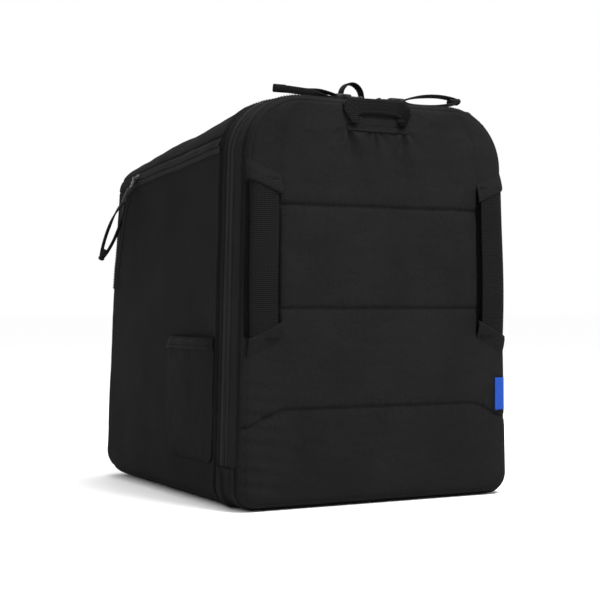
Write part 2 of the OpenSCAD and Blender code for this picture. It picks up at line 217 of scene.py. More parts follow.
def make_object(name, verts, faces, materials, uvs, smooth=True):
    mesh = bpy.data.meshes.new(name)
    mesh.from_pydata([tuple(map(float, v)) for v in verts], [], faces)
    for mat in materials if isinstance(materials, list) else [materials]:
        mesh.materials.append(mat)
    if uvs is not None:
        layer = mesh.uv_layers.new(name="UVMap")
        for loop in mesh.loops:
            layer.data[loop.index].uv = uvs[loop.vertex_index]
    for poly in mesh.polygons:
        poly.use_smooth = smooth
    mesh.update()
    return link(name, mesh)


def grid_faces(rows, cols, wrap=False):
    """Quads of a grid stored row by row; wrap joins the last column to the first."""
    last = cols if wrap else cols - 1
    return [(r * cols + c, r * cols + (c + 1) % cols, (r + 1) * cols + (c + 1) % cols,
             (r + 1) * cols + c) for r in range(rows - 1) for c in range(last)]


def grid_uv(points):
    """UVs in metres for rows of points: length along the columns, then along the rows."""
    u = np.pad(np.cumsum(np.linalg.norm(np.diff(points, axis=1), axis=2), axis=1), ((0, 0), (1, 0)))
    u -= u[:, points.shape[1] // 2][:, None]
    v = np.pad(np.cumsum(np.linalg.norm(np.diff(points, axis=0), axis=2), axis=0), ((1, 0), (0, 0)))
    return np.stack([u, v], axis=2).reshape(-1, 2)


def grid_object(name, points, mat, flip=False):
    faces = grid_faces(*points.shape[:2])
    if flip:
        faces = [f[::-1] for f in faces]
    return make_object(name, points.reshape(-1, 3), faces, mat, grid_uv(points))


def surface(vs, us, point):
    """Rows of points: point(v, u) for each v, and in it for each u."""
    return np.array([[point(v, u) for u in us] for v in vs], float)


def modifier(obj, name, kind, **values):
    mod = obj.modifiers.new(name, kind)
    for key, value in values.items():
        setattr(mod, key, value)


def solidify(obj, thickness, offset=-1.0, inner_material=0):
    modifier(obj, "thickness", "SOLIDIFY", thickness=thickness, offset=offset, use_even_offset=False,
             material_offset=inner_material, material_offset_rim=0)


def face_towards(obj, direction):
    """Flips a mesh whose faces point away from a direction on the whole."""
    if sum((Vector(p.normal) for p in obj.data.polygons), Vector()).dot(Vector(direction)) < 0:
        obj.data.flip_normals()


def face_outwards(obj):
    """Flips a ring whose faces point to the bag's middle."""
    if sum(p.normal.x * p.center.x for p in obj.data.polygons) < 0:
        obj.data.flip_normals()


def put(obj, body, slot, *nodes):
    """Rides a piece on its body and hides the CAD nodes that it stands for; its slot is not used."""
    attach(obj, body)
    if nodes:
        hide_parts(*nodes)
    return obj


def sewn(name, grid, mat, thickness, facing, body, slot, *nodes):
    """A piece of cloth or webbing with its right side towards a direction, put on its body."""
    piece = grid_object(name, grid, mat)
    face_towards(piece, facing)
    solidify(piece, thickness)
    return put(piece, body, slot, *nodes)


def unit(vectors):
    return vectors / np.maximum(np.linalg.norm(vectors, axis=-1, keepdims=True), 1e-12)


def along(points):
    """Distance along a path at each of its points."""
    return np.pad(np.cumsum(np.linalg.norm(np.diff(points, axis=0), axis=1)), (1, 0))


def interpolate(values, steps, at):
    return np.stack([np.interp(at, steps, column) for column in values.T], axis=-1)


def sample(points, at):
    return interpolate(points, along(points), at)


def resample(points, count):
    points = np.array(points, float)
    return sample(points, np.linspace(0, along(points)[-1], count))


def smoothstep(low, high, x):
    t = np.clip((np.asarray(x, float) - low) / (high - low), 0, 1)
    return t * t * (3 - 2 * t)


def ridge(distance, width):
    return np.exp(-(distance / width) ** 2)


def cloth_noise(points, scale, seed, stretch=(1, 1, 1)):
    """Smooth noise of about -1 to 1 at many points, stretched along an axis to make folds."""
    k = Vector(stretch) * scale
    return np.array([noise.fractal(Vector((p[0] * k.x + seed, p[1] * k.y, p[2] * k.z)), 0.9, 2.0, 3)
                     for p in points])


STITCH_FACES = ((0, 1, 2), (0, 2, 3), (1, 4, 5, 2), (2, 5, 6, 3), (4, 7, 5), (5, 7, 6), (0, 3, 6, 7, 4, 1))
STITCH_LIFT = 0.0001


def stitches(name, points, normals, body, pitch=0.0034, length=0.0024, radius=0.00042):
    """A row of thread stitches along a path, one short rounded lozenge each."""
    points, normals = np.asarray(points, float), np.asarray(normals, float)
    steps = along(points)
    count = max(1, int(steps[-1] / pitch))
    verts, faces = [], []
    for i in range(count):
        s = (i + 0.5) * steps[-1] / count
        up = unit(interpolate(normals, steps, s))
        k = min(len(steps) - 2, int(np.searchsorted(steps, s) - 1))
        forward = unit(points[k + 1] - points[k])
        across = np.cross(up, forward) * radius
        at = interpolate(points, steps, s) + up * STITCH_LIFT
        end, near = forward * length / 2, forward * length / 2 * 0.4
        low, high = -up * radius, up * radius * 1.1
        base = len(verts)
        verts += [at - end + low, at + across - near, at + high - near, at - across - near,
                  at + across + near, at + high + near, at - across + near, at + end + low]
        faces += [tuple(base + j for j in f) for f in STITCH_FACES]
    obj = make_object(name, verts, faces, thread, [(v[0] + v[1], v[2]) for v in verts])
    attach(obj, body)


# ---- outlines of body and panel
def half_outline(high_half, low_half, low, high, high_r, low_r):
    """Fine polyline of the left half of an outline, from the bottom middle round to the top middle."""
    points = [(-t * (low_half - low_r), low) for t in np.linspace(0, 1, 20)]
    points += [(-(low_half - low_r) + low_r * math.cos(a), low + low_r + low_r * math.sin(a))
               for a in np.radians(np.linspace(-90, -180, 40))[1:]]
    points += [(-low_half + t * (low_half - high_half), low + low_r + t * (high - high_r - low - low_r))
               for t in np.linspace(0, 1, 60)[1:]]
    points += [(-(high_half - high_r) + high_r * math.cos(a), high - high_r + high_r * math.sin(a))
               for a in np.radians(np.linspace(180, 90, 40))[1:]]
    points += [(-(1 - t) * (high_half - high_r), high) for t in np.linspace(0, 1, 30)[1:]]
    return np.array(points)


def body_half(y):
    """Left half outline of the bag's body at a depth, with the rear edges rounded in."""
    f = min(1, (y - ZIP_Y) / (REAR_FULL - ZIP_Y))
    inset = 0
    if y > REAR_FULL:
        inset = REAR_ROUND - math.sqrt(max(0, REAR_ROUND ** 2 - (y - REAR_FULL) ** 2))
    near = max(0, 1 - f / 0.08)
    return half_outline(TOP_HALF - 0.002 * near + 0.003 * f - inset, TOP_HALF + 0.008 + 0.011 * f - inset, inset,
                        BODY_TOP - TOP_DROP * f - inset, 0.060 + 0.008 * near - 0.024 * f - inset,
                        0.022 + 0.012 * f - inset)


def panel_half(y):
    """Left half outline of the opening panel at a depth between its edge seam and the zip."""
    f = (y - EDGE_Y) / (ZIP_Y - EDGE_Y)
    return half_outline(TOP_HALF - 0.003 + 0.001 * f, TOP_HALF + 0.005 + 0.002 * f, PANEL_BOTTOM, PANEL_TOP,
                        0.068, 0.022)

def outline_at(y):
    return panel_half(y) if y < ZIP_Y else body_half(y)


def where_z(points, z):
    """Distance along a half outline at which its rising side first reaches a height."""
    s = along(points)
    side = np.argmax(points[:, 0] <= points[:, 0].min() + 1e-9)
    return float(np.interp(z, points[side:, 1], s[side:]))


def mirrored(half):
    """Full ring from the bottom middle, up the left, over the top and down the right."""
    right = half[::-1][1:] * np.array([-1, 1])
    return np.concatenate([half, right])


def outward(points):
    """Unit normals of a closed ring in the front plane, pointing away from the bag's middle."""
    tangent = np.gradient(points, axis=0)
    normal = unit(np.stack([-tangent[:, 1], tangent[:, 0]], axis=1))
    middle = points - points.mean(axis=0)
    return normal * np.sign((normal * middle).sum(axis=1).mean())


# ---- body shell
def body_rows():
    """Depths of the shell's sections, closer together near its seams and its rounded rear edge."""
    front = np.linspace(GUSSET_FRONT, GUSSET_Y + 0.012, 26)
    middle = np.linspace(GUSSET_Y + 0.012, REAR_FULL, 96)[1:]
    turn = REAR_FULL + REAR_ROUND * np.sin(np.radians(np.linspace(0, 90, 22)))[1:]
    return np.concatenate([front, middle, turn])


def body_columns(half, y):
    """Distances round a half outline, with columns that follow both edges of the side zip seam."""
    total = along(half)[-1]
    low, high = (where_z(half, seam_z(y) + edge) for edge in (-SEAM_HALF, SEAM_HALF))
    return np.concatenate([np.linspace(0, 0.09, 26)[:-1], np.linspace(0.09, low, 150)[:-1],
                           np.linspace(low, high, 10)[:-1], np.linspace(high, total, 90)])


def body_shell():
    rows = []
    for y in body_rows():
        half = body_half(y)
        left = sample(half, body_columns(half, y))
        rows.append(np.insert(mirrored(left), 1, y, axis=1))
    points = np.array(rows)[:, :-1]
    y, z, x = points[..., 1], points[..., 2], points[..., 0]
    flat = points.reshape(-1, 3)
    slope = np.gradient(points, axis=1)
    normal = unit(np.stack([slope[..., 2], np.zeros_like(y), -slope[..., 0]], axis=2))
    if (normal[40, :, 0] * x[40]).sum() < 0:
        normal = -normal
    rear = smoothstep(REAR_FULL, REAR_Y, y)[..., None]
    normal = normal * (1 - rear ** 2) + np.array([0, 1, 0]) * rear ** 2
    band = z - seam_z(y)
    mid_y = np.clip((y - GUSSET_Y) / (REAR_Y - 0.012 - GUSSET_Y), 0, 1)
    cheek = np.sin(np.pi * mid_y) ** 0.6 * np.sin(np.pi * np.clip(z / (SEAM_FRONT_Z - 0.01), 0, 1)) ** 0.7
    cheek = np.where(band < 0, cheek, 0) * (y > GUSSET_Y)
    offset = 0.0022 * cheek
    folds = cloth_noise(flat, 9.0, 3.1, (1.0, 1.0, 0.55)).reshape(y.shape)
    soft = cloth_noise(flat, 26.0, 9.7, (1.0, 0.6, 1.0)).reshape(y.shape)
    puckers = cloth_noise(flat, 90.0, 5.2, (0.5, 0.5, 1.4)).reshape(y.shape)
    near_seam = ridge(np.minimum(np.abs(y - GUSSET_Y), np.abs(np.abs(band) - SEAM_HALF)), 0.012)
    floor = smoothstep(0.0, 0.03, z)
    offset += (0.0016 * folds + 0.0008 * soft) * floor * (1 - 0.5 * near_seam)
    offset += 0.0005 * puckers * near_seam * floor
    offset -= 0.0027 * ridge(y - GUSSET_Y, 0.0015)
    offset -= 0.0013 * ridge(np.abs(band) - SEAM_HALF, 0.0012) * (y > GUSSET_Y)
    offset -= 0.0016 * ridge(y - (REAR_Y - 0.0075), 0.0022)
    offset -= 0.0012 * ridge(z - 0.012, 0.0016) * (y > GUSSET_Y)
    offset += 0.0010 * ridge(y - GUSSET_Y - 0.0045, 0.0025) * floor
    dip = 0.0075 * np.sin(np.pi * np.clip((y - GUSSET_Y) / 0.20, 0, 1)) * (1 - (x / TOP_HALF) ** 2)
    offset -= dip * smoothstep(0.02, 0.05, band)
    offset *= 1 - 0.6 * rear[..., 0]
    points = points + normal * offset[..., None]
    points[..., 2] = np.maximum(points[..., 2], 0.0)
    rings = []
    centre = np.array([0.0, REAR_Y, (BODY_TOP - TOP_DROP) / 2])
    for k in np.linspace(0, 1, 26)[1:]:
        ring = points[-1] * (1 - k) + centre * k
        ring[:, 1] = (REAR_Y + 0.0022 * math.sin(math.pi * min(1, k * 1.2))
                      - 0.0012 * math.exp(-(k / 0.06) ** 2))
        rings.append(ring if k < 1 else points[-1] * 0.001 + centre * 0.999)
    grid = np.concatenate([points, np.array(rings)])
    count, cols = grid.shape[:2]
    closed = np.concatenate([grid, grid[:, :1]], axis=1)
    faces = grid_faces(count, cols, wrap=True)
    uv = grid_uv(closed).reshape(count, cols + 1, 2)[:, :cols].reshape(-1, 2)
    shell = make_object("body_shell", grid.reshape(-1, 3), faces, [shell_fabric, lining_fabric], uv)
    face_outwards(shell)
    tree = BVHTree.FromPolygons([tuple(v) for v in grid.reshape(-1, 3)], faces)
    solidify(shell, WALL, inner_material=1)
    put(shell, "bag_body", "body_fabric", "base_panel", "side_panel_left", "side_panel_right",
        "rear_panel", "top_panel", "front_gusset")
    return tree


shell_tree = body_shell()


# ---- opening panel: padded face
RECESS_IN, RECESS_OUT = 0.125, 0.1635
RECESS_LOW, RECESS_HIGH = 0.182, 0.346
QUILT_HIGH, QUILT_MID, QUILT_LOW = 0.321, 0.2115, 0.105
# Creases that fan out below the top handle: x of the middle, depth, number of waves and phase
GATHERS = ((-0.043, 0.0050, 5.5, 0.4), (0.027, 0.0036, 6.5, 2.0), (-0.010, 0.0022, 9.0, 1.0))
PANEL_EDGE = mirrored(sample(panel_half(EDGE_Y), np.linspace(0, along(panel_half(EDGE_Y))[-1], 560)))


def panel_width(z):
    half = panel_half(EDGE_Y)
    side = np.argmax(half[:, 0] <= half[:, 0].min() + 1e-9)
    low, high = half[:side + 1], half[side:]
    return np.where(z < half[side, 1], -np.interp(z, low[:, 1], low[:, 0]), -np.interp(z, high[:, 1], high[:, 0]))


def edge_distance(x, z):
    """Distance in from the panel's edge for arrays of points on its face."""
    pts = np.stack([x.ravel(), z.ravel()], axis=1)
    out = np.empty(len(pts))
    for i in range(0, len(pts), 2000):
        part = pts[i:i + 2000, None, :] - PANEL_EDGE[None, :, :]
        out[i:i + 2000] = np.sqrt((part ** 2).sum(axis=2).min(axis=1))
    return out.reshape(x.shape)


def crown_rise(d):
    """How far the face stands proud of its edge seam, by distance from the edge."""
    return CROWN * (0.68 * (1 - np.exp(-d / 0.0032)) + 0.32 * (1 - np.exp(-d / 0.032)))


def low_seam_z(x):
    return QUILT_LOW - 0.017 * smoothstep(0.111, 0.166, np.abs(x)) ** 1.3


def recess_mask(x, z, soft=0.0028):
    ax = np.abs(x)
    return (smoothstep(RECESS_IN - soft, RECESS_IN + soft, ax)
            * (1 - smoothstep(RECESS_OUT - soft * 0.6, RECESS_OUT + soft * 0.4, ax))
            * smoothstep(RECESS_LOW - soft, RECESS_LOW + soft, z)
            * (1 - smoothstep(RECESS_HIGH - soft, RECESS_HIGH + soft, z)))


def seam_distance(x, z):
    """Distance to the nearest quilting seam of the face."""
    between = np.abs(x) < RECESS_IN
    high = np.where(between, np.abs(z - QUILT_HIGH), 1.0)
    mid = np.where(between, np.abs(z - QUILT_MID), 1.0)
    return np.minimum(np.minimum(high, mid), np.abs(z - low_seam_z(x)))


def face_grid(cols, rows):
    t = np.linspace(0, 1, rows)
    ease = t + 0.07 * np.sin(2 * np.pi * t) / (2 * np.pi) * -1
    z = PANEL_BOTTOM + (PANEL_TOP - PANEL_BOTTOM) * ease
    u = np.linspace(-1, 1, cols)
    return u[None, :] * panel_width(z)[:, None], np.repeat(z[:, None], cols, axis=1)


def inflate(cols, rows):
    """Cloth under air pressure, held at the edge, the quilting seams and the grab recesses."""
    x, z = face_grid(cols, rows)
    d = edge_distance(x, z)
    y = EDGE_Y - crown_rise(d) * 0.9
    points = np.stack([x, y, z], axis=2)
    cloth = grid_object("cloth", points, panel_fabric)
    group = cloth.vertex_groups.new(name="held")
    hold = np.maximum.reduce([(d < 0.003) * 1.0, (seam_distance(x, z) < 0.0026) * 1.0,
                              (recess_mask(x, z, 0.004) > 0.2) * 1.0])
    for index in np.flatnonzero(hold.ravel()):
        group.add([int(index)], 1.0, "REPLACE")
    mod = cloth.modifiers.new("cloth", "CLOTH")
    mod.settings.quality = 4
    mod.settings.mass = 0.25
    mod.settings.tension_stiffness = 18
    mod.settings.compression_stiffness = 14
    mod.settings.bending_stiffness = 0.8
    mod.settings.shrink_min = -0.022
    mod.settings.vertex_group_mass = "held"
    mod.settings.use_pressure = True
    mod.settings.uniform_pressure_force = -1.6
    mod.settings.effector_weights.gravity = 0
    mod.collision_settings.use_collision = False
    mod.point_cache.frame_start, mod.point_cache.frame_end = 1, 18
    scene = bpy.context.scene
    for number in range(1, 19):
        scene.frame_set(number)
        bpy.context.view_layer.update()
    result = cloth.evaluated_get(bpy.context.evaluated_depsgraph_get())
    co = np.empty(len(result.data.vertices) * 3)
    result.data.vertices.foreach_get("co", co)
    moved = co.reshape(rows, cols, 3) - points
    bpy.data.objects.remove(cloth, do_unlink=True)
    scene.frame_set(1)
    length = np.linalg.norm(moved, axis=2, keepdims=True)
    return np.nan_to_num(moved) * np.minimum(1, 0.0075 / np.maximum(length, 1e-9))


def enlarge(values, cols, rows):
    """Bilinear resize of a rows x cols x 3 array."""
    r = np.linspace(0, values.shape[0] - 1, rows)
    c = np.linspace(0, values.shape[1] - 1, cols)
    r0, c0 = np.minimum(r.astype(int), values.shape[0] - 2), np.minimum(c.astype(int), values.shape[1] - 2)
    fr, fc = (r - r0)[:, None, None], (c - c0)[None, :, None]
    top = values[r0][:, c0] * (1 - fc) + values[r0][:, c0 + 1] * fc
    low = values[r0 + 1][:, c0] * (1 - fc) + values[r0 + 1][:, c0 + 1] * fc
    return top * (1 - fr) + low * fr


def blur(values, times):
    for _ in range(times):
        pad = np.pad(values, ((1, 1), (1, 1), (0, 0)), mode="edge")
        values = (pad[1:-1, 1:-1] * 2 + pad[:-2, 1:-1] + pad[2:, 1:-1] + pad[1:-1, :-2] + pad[1:-1, 2:]) / 6
    return values


def front_pad():
    cols, rows = 300, 390
    x, z = face_grid(cols, rows)
    d = edge_distance(x, z)
    moved = blur(enlarge(inflate(92, 120), cols, rows), 3) * smoothstep(0.002, 0.034, d)[..., None]
    seams = seam_distance(x, z)
    y = EDGE_Y - crown_rise(d) * 0.9 + moved[..., 1]
    flat = np.stack([x, np.zeros_like(x), z], axis=2).reshape(-1, 3)
    inside = smoothstep(0.0, 0.02, d)
    y += 0.0012 * cloth_noise(flat, 11.0, 1.3, (1.0, 1, 1.3)).reshape(x.shape) * inside
    y += 0.0005 * cloth_noise(flat, 45.0, 7.3, (0.55, 1, 1.5)).reshape(x.shape) * inside
    y += 0.0022 * ridge(seams, 0.0022) + 0.0009 * ridge(seams, 0.007)
    y += 0.0006 * cloth_noise(flat, 130.0, 2.3, (1.6, 1, 0.5)).reshape(x.shape) * ridge(seams, 0.012)
    y += 0.0010 * ridge(d - 0.0062, 0.0013)
    for from_x, depth, waves, phase in GATHERS:
        dx, dz = x - from_x, 0.409 - z
        reach = np.hypot(dx, dz)
        angle = np.arctan2(dx, np.maximum(dz, 1e-4)) + 3.0 * dz * np.sin(dz * 40)
        spread = np.exp(-(angle / 1.0) ** 2) * smoothstep(0.002, 0.016, reach) * np.exp(-reach / 0.042)
        y += depth * spread * np.sin(angle * waves + phase) * (dz > 0)
    gather = smoothstep(-0.10, -0.155, x) * (1 - smoothstep(0.09, 0.17, z)) * smoothstep(0.0, 0.004, d)
    y += 0.0007 * gather * np.sin(z * 420 + x * 60)
    mask = recess_mask(x, z)
    y = y * (1 - mask) + (EDGE_Y - 0.0035) * mask
    y = np.maximum(y, FACE_Y - 0.0075)
    moved[..., 1] = 0
    points = np.stack([x, y, z], axis=2) + moved * (1 - mask)[..., None] * inside[..., None] * 0.6
    grid = np.concatenate([points[:1] + (0, 0.0014, 0.0006), points, points[-1:] + (0, 0.0014, -0.0006)])
    pad = grid_object("front_pad", grid, panel_fabric)
    face_towards(pad, FRONT)
    tree = BVHTree.FromPolygons([tuple(v) for v in grid.reshape(-1, 3)], grid_faces(*grid.shape[:2]))
    solidify(pad, 0.0012)
    put(pad, "front_panel", "panel_fabric", "front_panel_cover", "front_panel_foam")
    return tree


pad_tree = front_pad()


def crown_y(x, z):
    """Depth of the face without its seams and recesses."""
    d = edge_distance(np.atleast_1d(x), np.atleast_1d(z))
    return EDGE_Y - crown_rise(d) * 0.95


def face_point(x, z, lift=0.0):
    """A point on the padded face and its normal."""
    hit = pad_tree.ray_cast(Vector((x, -0.5, z)), Vector((0, 1, 0)))
    if hit[0] is None:
        hit = pad_tree.find_nearest(Vector((x, EDGE_Y, z)))
    normal = hit[1] if hit[1].y < 0 else -hit[1]
    return np.array(hit[0] + normal * lift), np.array(normal)


def face_stitches(name, line, lift=0.0001, **options):
    """Stitches along a line of (x, z) points on the padded face."""
    found = [face_point(x, z, lift) for x, z in line]
    stitches(name, [p for p, _ in found], [n for _, n in found], "front_panel", **options)


def shell_point(guess):
    """The nearest point of the body shell and its outward normal."""
    at, normal, _, _ = shell_tree.find_nearest(Vector(guess))
    middle = Vector((0, min(max(at.y, -0.1), 0.1), 0.2))
    if normal.dot(at - middle) < 0:
        normal = -normal
    return np.array(at), np.array(normal)


# ---- strips and webbing
def rounded_section(width, thickness, turns=3):
    """Closed section of flat webbing: across, then up, with rounded edges."""
    half, r = width / 2, thickness / 2
    section = []
    for start, cx in ((90, -half + r), (270, half - r)):
        for i in range(turns + 1):
            a = math.radians(start + 180 * i / turns)
            section.append((cx + r * math.cos(a), r * math.sin(a)))
    return section


def sweep(name, path, ups, section, mat):
    """Sweeps a closed section along a path; ups are the directions of the section's second axis."""
    path = np.asarray(path, float)
    tangent = unit(np.gradient(path, axis=0))
    side = unit(np.cross(tangent, np.asarray(ups, float)))
    up = np.cross(side, tangent)
    grid = np.array([[path[i] + side[i] * a + up[i] * b for a, b in section] for i in range(len(path))])
    n, m = grid.shape[:2]
    length = along(grid.mean(axis=1))
    uv = [(section[j][0], length[i]) for i in range(n) for j in range(m)]
    faces = grid_faces(n, m, wrap=True) + [tuple(range(m))[::-1], tuple((n - 1) * m + j for j in range(m))]
    obj = make_object(name, grid.reshape(-1, 3), faces, mat, uv)
    obj.data.validate()
    work = bmesh.new()
    work.from_mesh(obj.data)
    bmesh.ops.recalc_face_normals(work, faces=work.faces)
    work.to_mesh(obj.data)
    work.free()
    return obj


def ring_strip(name, profile, low_z, body, slot, mat, cad, wave, seed):
    """A strip round the bag's front outline; profile lists (depth, lift) across it."""
    rows = []
    for y, lift in profile:
        half = outline_at(y)
        start = where_z(half, low_z) if low_z > 0.03 else 0.0
        ring = mirrored(sample(half, np.linspace(start, along(half)[-1], 330)))
        normal = outward(ring)
        extra = cloth_noise(np.insert(ring, 1, y, axis=1), 60.0, seed, (1, 2, 1)) * wave
        rows.append(np.insert(ring + normal * (lift + extra)[:, None], 1, y, axis=1))
    strip = grid_object(name, np.array(rows), mat)
    face_outwards(strip)
    solidify(strip, 0.0008)
    return put(strip, body, slot, *cad)


def ring_path(y, low_z, lift, count=900):
    half = outline_at(y)
    ring = mirrored(sample(half, np.linspace(where_z(half, low_z), along(half)[-1], count // 2)))
    normal = outward(ring)
    return np.insert(ring + normal * lift, 1, y, axis=1), np.insert(normal, 1, 0, axis=1)


# Sections of a coil tooth: reach, half width, bottom and top
TOOTH = ((-0.0002, 0.0004, -0.0009, 0.0002), (0.0008, 0.0006, -0.0012, 0.0005),
         (0.0027, 0.0005, -0.0010, 0.0004))


def teeth_row(name, path, normals, side, body, cad=(), pitch=0.0019, shift=0.0):
    """Coil teeth along a path, each a small rounded bar reaching out to one side of it."""
    steps = along(path)
    verts, faces = [], []
    for s in np.arange(pitch + shift * pitch, steps[-1] - pitch, pitch):
        at = interpolate(path, steps, s)
        up = interpolate(normals, steps, s)
        forward = unit(interpolate(path, steps, s + 0.0005) - at)
        out = unit(np.cross(forward, up)) * side
        base = len(verts)
        for reach, half, low, high in TOOTH:
            for a, b in ((-half, low), (half, low), (half, high), (-half, high)):
                verts.append(at + out * reach + forward * a + up * b)
        for k in (0, 4):
            faces += [tuple(base + k + j for j in f) for f in
                      ((0, 1, 5, 4), (1, 2, 6, 5), (2, 3, 7, 6), (3, 0, 4, 7))]
        faces += [(base, base + 3, base + 2, base + 1), (base + 8, base + 9, base + 10, base + 11)]
    put(make_object(name, verts, faces, teeth_plastic, None, smooth=False), body, "zip_teeth", *cad)


# Round the front: name, start of the profile, profile, lowest point, body, slot, material, CAD nodes,
# height and seed of its waves, length and width
for name, start, profile, low_z, body, slot, mat, cad, wave, seed, length, width in (
        ("panel_rim", EDGE_Y, ((-0.0006, -0.0022), (0.0002, -0.0002), (0.002, 0.0006), (0.005, 0.0006),
                               (0.009, 0.0008), (0.014, 0.0008), (0.017, 0.0004), (0.0186, 0.0008),
                               (0.0196, 0.0007), (0.0200, -0.0012)),
         0.024, "front_panel", "panel_fabric", panel_fabric, ("front_panel_rim",), 0.0006, 4.0, 1.12, 0.022),
        ("zip_tape_front", ZIP_Y, ((EDGE_Y + 0.0185 - ZIP_Y, -0.0012), (EDGE_Y + 0.022 - ZIP_Y, 0.0001),
                                   (-0.0016, 0.0002), (-0.0009, -0.0004)),
         ZIP_END, "front_panel", "zip_tape", tape_fabric, ("main_zip_tape_panel",), 0.0001, 2.0, 1.06, 0.0065),
        ("zip_tape_back", ZIP_Y, ((0.0009, -0.0004), (0.0016, 0.0002), (0.0075, 0.0001), (0.0110, -0.0008)),
         ZIP_END, "bag_body", "zip_tape", tape_fabric, ("main_zip_tape_body",), 0.0001, 2.5, 1.06, 0.0088),
        ("gusset_welt", ZIP_Y, ((0.0076, -0.0012), (0.0080, 0.0004), (0.0092, 0.0007), (0.0125, 0.0005),
                                (0.0135, -0.0004)),
         0.0, "bag_body", "body_fabric", shell_fabric, (), 0.0003, 6.0, 1.45, 0.010)):
    piece = ring_strip(name, [(start + y, lift) for y, lift in profile], low_z, body, slot, mat, cad, wave, seed)
    max(0.011, width)
zip_path, zip_normals = ring_path(ZIP_Y, ZIP_END, -0.0006)
teeth_row("zip_teeth_front", zip_path, zip_normals, 1, "front_panel", ("main_zip_teeth_panel",))
teeth_row("zip_teeth_back", zip_path, zip_normals, -1, "bag_body", ("main_zip_teeth_body",), shift=0.5)
for depth, low_z, body in ((EDGE_Y + 0.0035, 0.026, "front_panel"), (EDGE_Y + 0.0172, 0.044, "front_panel"),
                           (ZIP_Y + 0.0108, 0.044, "bag_body"), (GUSSET_Y - 0.003, 0.030, "bag_body")):
    line, normals = ring_path(depth, low_z, 0.0010, 1100)
    stitches("edge_stitches", line, normals, body)


# ---- side grab handles and their flaps
HANDLE_X, HANDLE_HALF = 0.1440, 0.0159
HANDLE_LOW, HANDLE_HIGH = 0.179, 0.349
FLAP_IN, FLAP_OUT, FLAP_LENGTH = 0.1235, 0.1615, 0.030


def grab_handle(side, word):
    rows, cols = 150, 21
    zs = np.linspace(HANDLE_LOW, HANDLE_HIGH, rows)
    bow = 0.0016 * np.sin(np.pi * np.linspace(0, 1, rows)) ** 0.5
    grid = np.zeros((rows, cols, 3))
    for j, a in enumerate(np.linspace(-1, 1, cols)):
        xs = np.full(rows, HANDLE_X + a * HANDLE_HALF)
        y = crown_y(xs, zs) - 0.0022 - bow - 0.0009 * (1 - a * a)
        grid[:, j] = np.stack([side * xs, y, zs], axis=1)
    grid[..., 0] += side * 0.0008 * np.sin(zs * 34)[:, None]
    sewn("grab_handle_%s_webbing" % word, grid, webbing_fabric, 0.0019, FRONT, "front_panel", "webbing",
         "grab_handle_" + word)


def flap(name, side, outer_z, inner_z, back):
    """Folded fabric over a handle's end: its free edge runs diagonally, its back edge is sewn down."""
    rows, cols = 26, 60
    ux = np.linspace(FLAP_IN, FLAP_OUT, cols)
    edge = np.interp(ux, [ux[0], ux[-1]], [inner_z, outer_z])
    grid = np.zeros((rows, cols, 3))
    for i, v in enumerate(np.linspace(0, 1, rows)):
        zs = edge + back * v * FLAP_LENGTH
        lift = 0.0036 * (1 - v) ** 0.8 + 0.0008 + 0.0007 * math.sin(math.pi * min(1, v * 4))
        merged = smoothstep(0.25, 0.95, v)
        open_part = recess_mask(ux, zs, 0.004)
        face = np.array([face_point(side * x, z)[0][1] + 0.0013 for x, z in zip(ux, zs)])
        face = face * (1 - open_part) + (crown_y(ux, zs) - 0.0034) * open_part
        y = (crown_y(ux, zs) - lift) * (1 - merged) + face * merged
        grid[i] = np.stack([side * ux, y, zs], axis=1)
    grid[..., 1] += 0.0005 * cloth_noise(grid.reshape(-1, 3), 70.0, 5.0).reshape(rows, cols)
    front = grid[:1] + np.array([0, 0.0012, -0.0003 * back])
    grid = np.concatenate([front, grid])
    piece = sewn(name, grid, panel_fabric, 0.0012, FRONT, "front_panel", "panel_fabric")
    for row in (3, 7):
        stitches(name + "_stitches", grid[row] + (0, -0.0002, 0), np.tile(FRONT, (cols, 1)), "front_panel",
                 pitch=0.0031)
    return piece


for side, word in SIDES:
    grab_handle(side, word)
    top_flap = flap("flap_top_" + word, side, 0.347, 0.331, 1)
    flap("flap_low_" + word, side, 0.180, 0.198, -1)
    if side < 0:
        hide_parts("handle_end_flaps")
    for inset in (0.0045, 0.0075):
        face_stitches("recess_stitches", [(side * (RECESS_IN - inset), z) for z in np.linspace(0.200, 0.328, 160)],
                      0.0002)


# ---- quilting stitches
for level in (QUILT_HIGH, QUILT_MID):
    face_stitches("quilt_stitches", [(x, level) for x in np.linspace(-0.118, 0.118, 300)], pitch=0.0038)
face_stitches("quilt_stitches", [(x, float(low_seam_z(x))) for x in np.linspace(-0.1615, 0.1615, 400)],
              pitch=0.0038)


# ---- top handle, its patch and the haul loop
HANDLE_AT = Vector(joints["top_handle_fold"]["pos_m"])
LEAN = math.radians(15)


def handle_point(x, up, out):
    return (x + HANDLE_AT.x, HANDLE_AT.y + up * math.sin(LEAN) - out * math.cos(LEAN),
            HANDLE_AT.z + up * math.cos(LEAN) + out * math.sin(LEAN))


